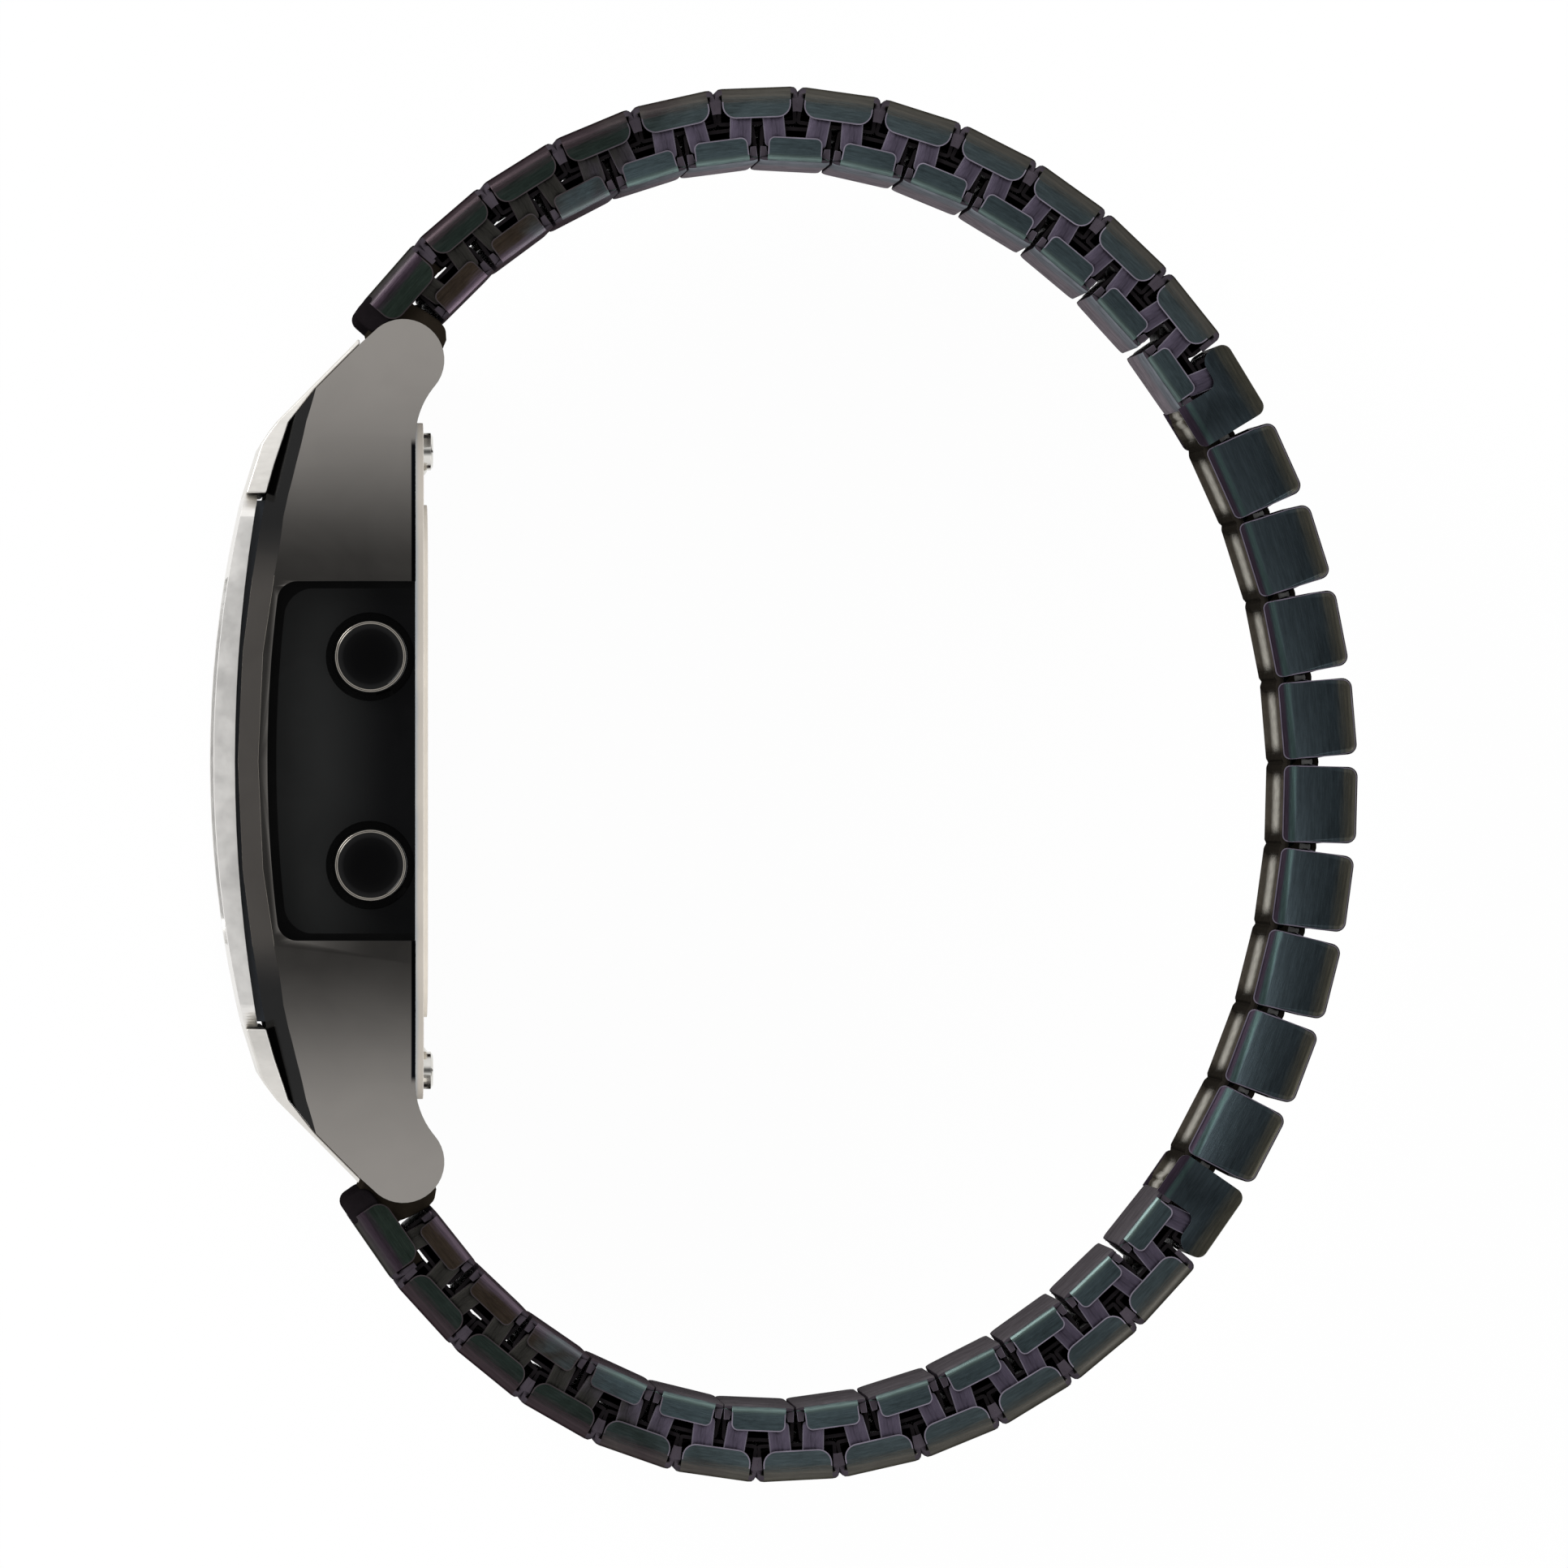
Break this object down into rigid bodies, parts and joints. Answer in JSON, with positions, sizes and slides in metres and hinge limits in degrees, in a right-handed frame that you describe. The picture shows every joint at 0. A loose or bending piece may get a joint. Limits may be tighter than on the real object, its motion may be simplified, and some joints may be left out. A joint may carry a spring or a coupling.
{
  "type": "digital wristwatch",
  "caption": "Digital wristwatch with a long arched case, push buttons on both flanks and a closed expansion bracelet of two rows of sprung links.",
  "frame": {"origin": "centre of the case back's outer face", "axes": "The watch lies on its side. +X runs out of the case back into the wrist loop, +Y to the 12 o'clock end, +Z to the 3 o'clock side, which faces up."},
  "size_m": [0.0519, 0.0633, 0.034],
  "materials": {
    "black_plastic": "printed black mask",
    "black_steel": "steel with a polished black vapour coating",
    "blue_black_steel": "brushed steel with a blue-black vapour coating",
    "board": "green circuit board",
    "chip": "black moulded parts",
    "crystal": "clear mineral glass",
    "digits": "dark display segments",
    "display": "grey-green liquid crystal display",
    "grey_plastic": "moulded dark plastic",
    "light": "white light panel",
    "liner_steel": "bare dark steel",
    "pink_rubber": "pink layered rubber strip",
    "plum_steel": "steel strip with a plum-grey vapour coating",
    "polished_steel": "polished stainless steel",
    "seal": "black rubber",
    "silver_steel": "brushed stainless steel",
    "spring_brass": "gold-plated spring strip",
    "white_plastic": "moulded white plastic"
  },
  "bodies": {
    "head": {"case_body": "black_steel", "lug_plates": "silver_steel", "bezel": "silver_steel", "bezel_seal": "seal", "crystal": "crystal", "dial_mask": "black_plastic", "lcd_glass": "display", "lcd_digits": "digits", "light_panel": "light", "contact_strips": "pink_rubber", "display_frame": "white_plastic", "circuit_board": "board", "board_parts": "chip", "module_frame": "grey_plastic", "battery": "polished_steel", "battery_clip": "spring_brass", "buzzer": "spring_brass", "button_contacts": "spring_brass", "case_back": "silver_steel", "back_gasket": "seal", "back_screws": "polished_steel", "button_seals": "seal", "upper_spring_bar": "silver_steel", "lower_spring_bar": "silver_steel"},
    "upper_right_button": {"upper_right_button": "black_steel"},
    "lower_right_button": {"lower_right_button": "black_steel"},
    "upper_left_button": {"upper_left_button": "black_steel"},
    "lower_left_button": {"lower_left_button": "black_steel"},
    "upper_end": {"upper_end_link": "blue_black_steel", "upper_staples": "plum_steel"},
    "lower_end": {"lower_end_link": "blue_black_steel", "lower_staples": "plum_steel"},
    "upper_link_02": {"upper_link_02": "blue_black_steel"},
    "upper_link_03": {"upper_link_03": "blue_black_steel"},
    "upper_link_04": {"upper_link_04": "blue_black_steel"},
    "upper_link_05": {"upper_link_05": "blue_black_steel"},
    "upper_link_06": {"upper_link_06": "blue_black_steel"},
    "upper_link_07": {"upper_link_07": "blue_black_steel"},
    "upper_link_08": {"upper_link_08": "blue_black_steel"},
    "upper_link_09": {"upper_link_09": "blue_black_steel"},
    "upper_link_10": {"upper_link_10": "blue_black_steel"},
    "upper_link_11": {"upper_link_11": "blue_black_steel"},
    "upper_link_12": {"upper_link_12": "blue_black_steel"},
    "upper_joint": {"upper_joint_link": "blue_black_steel"},
    "lower_link_02": {"lower_link_02": "blue_black_steel"},
    "lower_link_03": {"lower_link_03": "blue_black_steel"},
    "lower_link_04": {"lower_link_04": "blue_black_steel"},
    "lower_link_05": {"lower_link_05": "blue_black_steel"},
    "lower_link_06": {"lower_link_06": "blue_black_steel"},
    "lower_link_07": {"lower_link_07": "blue_black_steel"},
    "lower_link_08": {"lower_link_08": "blue_black_steel"},
    "lower_link_09": {"lower_link_09": "blue_black_steel"},
    "lower_link_10": {"lower_link_10": "blue_black_steel"},
    "lower_link_11": {"lower_link_11": "blue_black_steel"},
    "lower_link_12": {"lower_link_12": "blue_black_steel"},
    "lower_joint": {"lower_joint_link": "blue_black_steel"},
    "back_section": {"back_link_covers": "blue_black_steel", "back_link_liners": "liner_steel", "back_link_pins": "polished_steel"}
  },
  "joints": [
    {"name": "upper_right_button_press", "type": "slide", "parent": "head", "child": "upper_right_button", "axis": [0, 0, -1], "range_m": [0, 0.0005], "stiffness_N_per_m": 1200, "springref_m": -0.0004, "deforming": ["button_contacts"]},
    {"name": "lower_right_button_press", "type": "slide", "parent": "head", "child": "lower_right_button", "axis": [0, 0, -1], "range_m": [0, 0.0005], "stiffness_N_per_m": 1200, "springref_m": -0.0004, "deforming": ["button_contacts"]},
    {"name": "upper_left_button_press", "type": "slide", "parent": "head", "child": "upper_left_button", "axis": [0, 0, 1], "range_m": [0, 0.0005], "stiffness_N_per_m": 1200, "springref_m": -0.0004, "deforming": ["button_contacts"]},
    {"name": "lower_left_button_press", "type": "slide", "parent": "head", "child": "lower_left_button", "axis": [0, 0, 1], "range_m": [0, 0.0005], "stiffness_N_per_m": 1200, "springref_m": -0.0004, "deforming": ["button_contacts"]},
    {"name": "bracelet_sway", "type": "hinge", "parent": "head", "child": "upper_end", "pos_m": [-0.00115, 0.0181, 0], "axis": [0, 0, 1], "range_deg": [-3, 3], "stiffness_Nm_per_rad": 0.05},
    {"name": "lower_end_turn", "type": "hinge", "parent": "head", "child": "lower_end", "pos_m": [-0.00115, -0.0181, 0], "axis": [0, 0, 1], "range_deg": [-3.09, 3.09]},
    {"name": "upper_gap_01", "type": "slide", "parent": "upper_end", "child": "upper_link_02", "axis": [0.7085, 0.7057, 0], "range_m": [0, 0.0023], "stiffness_N_per_m": 1500, "springref_m": -0.0002},
    {"name": "upper_gap_02", "type": "slide", "parent": "upper_link_02", "child": "upper_link_03", "axis": [0.8035, 0.5953, 0], "range_m": [0, 0.00223], "stiffness_N_per_m": 1500, "springref_m": -0.0002},
    {"name": "upper_gap_03", "type": "slide", "parent": "upper_link_03", "child": "upper_link_04", "axis": [0.8873, 0.4611, 0], "range_m": [0, 0.00214], "stiffness_N_per_m": 1500, "springref_m": -0.0002},
    {"name": "upper_gap_04", "type": "slide", "parent": "upper_link_04", "child": "upper_link_05", "axis": [0.9527, 0.304, 0], "range_m": [0, 0.00203], "stiffness_N_per_m": 1500, "springref_m": -0.0002},
    {"name": "upper_gap_05", "type": "slide", "parent": "upper_link_05", "child": "upper_link_06", "axis": [0.9916, 0.129, 0], "range_m": [0, 0.00192], "stiffness_N_per_m": 1500, "springref_m": -0.0002},
    {"name": "bracelet_stretch", "type": "slide", "parent": "upper_link_06", "child": "upper_link_07", "axis": [0.9987, -0.0512, 0], "range_m": [0, 0.0018], "stiffness_N_per_m": 1500, "springref_m": -0.0002, "deforming": ["upper_staples", "lower_staples"]},
    {"name": "upper_gap_07", "type": "slide", "parent": "upper_link_07", "child": "upper_link_08", "axis": [0.9753, -0.2209, 0], "range_m": [0, 0.00169], "stiffness_N_per_m": 1500, "springref_m": -0.0002},
    {"name": "upper_gap_08", "type": "slide", "parent": "upper_link_08", "child": "upper_link_09", "axis": [0.9253, -0.3792, 0], "range_m": [0, 0.00158], "stiffness_N_per_m": 1500, "springref_m": -0.0002},
    {"name": "upper_gap_09", "type": "slide", "parent": "upper_link_09", "child": "upper_link_10", "axis": [0.8543, -0.5198, 0], "range_m": [0, 0.00149], "stiffness_N_per_m": 1500, "springref_m": -0.0002},
    {"name": "upper_gap_10", "type": "slide", "parent": "upper_link_10", "child": "upper_link_11", "axis": [0.7685, -0.6398, 0], "range_m": [0, 0.00141], "stiffness_N_per_m": 1500, "springref_m": -0.0002},
    {"name": "upper_gap_11", "type": "slide", "parent": "upper_link_11", "child": "upper_link_12", "axis": [0.6734, -0.7393, 0], "range_m": [0, 0.00135], "stiffness_N_per_m": 1500, "springref_m": -0.0002},
    {"name": "upper_gap_12", "type": "slide", "parent": "upper_link_12", "child": "upper_joint", "axis": [0.5717, -0.8205, 0], "range_m": [0, 0.00129], "stiffness_N_per_m": 1500, "springref_m": -0.0002},
    {"name": "lower_gap_01", "type": "slide", "parent": "lower_end", "child": "lower_link_02", "axis": [0.6214, -0.7835, 0], "range_m": [0, 0.00189], "stiffness_N_per_m": 1500, "springref_m": -0.0002},
    {"name": "lower_gap_02", "type": "slide", "parent": "lower_link_02", "child": "lower_link_03", "axis": [0.7248, -0.689, 0], "range_m": [0, 0.00188], "stiffness_N_per_m": 1500, "springref_m": -0.0002},
    {"name": "lower_gap_03", "type": "slide", "parent": "lower_link_03", "child": "lower_link_04", "axis": [0.8232, -0.5677, 0], "range_m": [0, 0.00187], "stiffness_N_per_m": 1500, "springref_m": -0.0002},
    {"name": "lower_gap_04", "type": "slide", "parent": "lower_link_04", "child": "lower_link_05", "axis": [0.9089, -0.4171, 0], "range_m": [0, 0.00185], "stiffness_N_per_m": 1500, "springref_m": -0.0002},
    {"name": "lower_gap_05", "type": "slide", "parent": "lower_link_05", "child": "lower_link_06", "axis": [0.9711, -0.2386, 0], "range_m": [0, 0.00183], "stiffness_N_per_m": 1500, "springref_m": -0.0002},
    {"name": "lower_gap_06", "type": "slide", "parent": "lower_link_06", "child": "lower_link_07", "axis": [0.9992, -0.0411, 0], "range_m": [0, 0.00181], "stiffness_N_per_m": 1500, "springref_m": -0.0002},
    {"name": "lower_gap_07", "type": "slide", "parent": "lower_link_07", "child": "lower_link_08", "axis": [0.9905, 0.1373, 0], "range_m": [0, 0.00179], "stiffness_N_per_m": 1500, "springref_m": -0.0002},
    {"name": "lower_gap_08", "type": "slide", "parent": "lower_link_08", "child": "lower_link_09", "axis": [0.9532, 0.3022, 0], "range_m": [0, 0.00177], "stiffness_N_per_m": 1500, "springref_m": -0.0002},
    {"name": "lower_gap_09", "type": "slide", "parent": "lower_link_09", "child": "lower_link_10", "axis": [0.8919, 0.4521, 0], "range_m": [0, 0.00175], "stiffness_N_per_m": 1500, "springref_m": -0.0002},
    {"name": "lower_gap_10", "type": "slide", "parent": "lower_link_10", "child": "lower_link_11", "axis": [0.8127, 0.5826, 0], "range_m": [0, 0.00174], "stiffness_N_per_m": 1500, "springref_m": -0.0002},
    {"name": "lower_gap_11", "type": "slide", "parent": "lower_link_11", "child": "lower_link_12", "axis": [0.7217, 0.6922, 0], "range_m": [0, 0.00172], "stiffness_N_per_m": 1500, "springref_m": -0.0002},
    {"name": "lower_gap_12", "type": "slide", "parent": "lower_link_12", "child": "lower_joint", "axis": [0.6221, 0.7829, 0], "range_m": [0, 0.00171], "stiffness_N_per_m": 1500, "springref_m": -0.0002},
    {"name": "back_section_turn", "type": "hinge", "parent": "upper_joint", "child": "back_section", "pos_m": [0.03613, 0.01464, 0], "axis": [0, 0, 1], "range_deg": [-3.31, 3.31]}
  ],
  "couplings": [
    {"joint": "lower_end_turn", "follows": "bracelet_sway", "ratio": 1.0264},
    {"joint": "upper_gap_01", "follows": "bracelet_stretch", "ratio": 1.2773},
    {"joint": "upper_gap_02", "follows": "bracelet_stretch", "ratio": 1.2368},
    {"joint": "upper_gap_03", "follows": "bracelet_stretch", "ratio": 1.1877},
    {"joint": "upper_gap_04", "follows": "bracelet_stretch", "ratio": 1.1301},
    {"joint": "upper_gap_05", "follows": "bracelet_stretch", "ratio": 1.066},
    {"joint": "upper_gap_07", "follows": "bracelet_stretch", "ratio": 0.9378},
    {"joint": "upper_gap_08", "follows": "bracelet_stretch", "ratio": 0.87983},
    {"joint": "upper_gap_09", "follows": "bracelet_stretch", "ratio": 0.82833},
    {"joint": "upper_gap_10", "follows": "bracelet_stretch", "ratio": 0.78433},
    {"joint": "upper_gap_11", "follows": "bracelet_stretch", "ratio": 0.74791},
    {"joint": "upper_gap_12", "follows": "bracelet_stretch", "ratio": 0.71816},
    {"joint": "lower_gap_01", "follows": "bracelet_stretch", "ratio": 1.0501},
    {"joint": "lower_gap_02", "follows": "bracelet_stretch", "ratio": 1.0441},
    {"joint": "lower_gap_03", "follows": "bracelet_stretch", "ratio": 1.0365},
    {"joint": "lower_gap_04", "follows": "bracelet_stretch", "ratio": 1.0271},
    {"joint": "lower_gap_05", "follows": "bracelet_stretch", "ratio": 1.0159},
    {"joint": "lower_gap_06", "follows": "bracelet_stretch", "ratio": 1.0035},
    {"joint": "lower_gap_07", "follows": "bracelet_stretch", "ratio": 0.9923},
    {"joint": "lower_gap_08", "follows": "bracelet_stretch", "ratio": 0.98195},
    {"joint": "lower_gap_09", "follows": "bracelet_stretch", "ratio": 0.97255},
    {"joint": "lower_gap_10", "follows": "bracelet_stretch", "ratio": 0.96436},
    {"joint": "lower_gap_11", "follows": "bracelet_stretch", "ratio": 0.95749},
    {"joint": "lower_gap_12", "follows": "bracelet_stretch", "ratio": 0.9518},
    {"joint": "back_section_turn", "follows": "bracelet_sway", "ratio": -1.0991}
  ]
}
